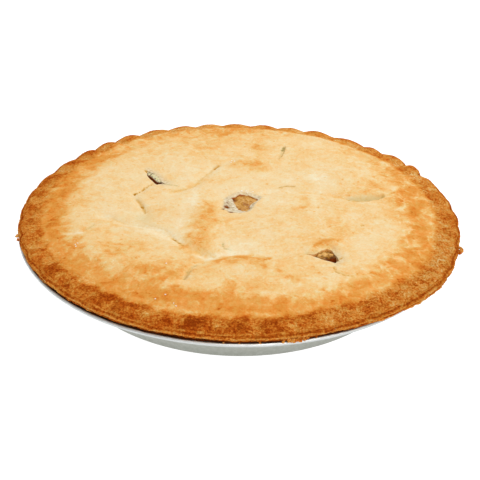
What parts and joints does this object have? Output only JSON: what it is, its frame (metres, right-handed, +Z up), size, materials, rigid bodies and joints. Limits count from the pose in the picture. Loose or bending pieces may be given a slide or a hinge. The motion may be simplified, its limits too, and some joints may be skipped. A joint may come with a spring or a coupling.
{
  "type": "apple pie",
  "caption": "Whole round apple pie with a flat golden top crust, steam vents that show the filling and a fluted browned rim, baked in its plain foil tin.",
  "frame": {"origin": "centre of the tin's flat underside, where the pie stands", "axes": "+Z up through the top crust, -Y towards the side that the picture shows as the front, +X to its right"},
  "size_m": [0.2463, 0.2449, 0.038],
  "materials": {
    "foil": "satin pressed foil",
    "case_pastry": "browned flaky pastry, matte",
    "apple_filling": "cooked apple in a set syrup, moist and glossy",
    "lid_pastry": "baked shortcrust, cream to golden brown, matte"
  },
  "bodies": {
    "root": {"foil_pan": "foil", "bottom_crust": "case_pastry", "filling": "apple_filling", "top_crust": "lid_pastry"}
  },
  "joints": []
}
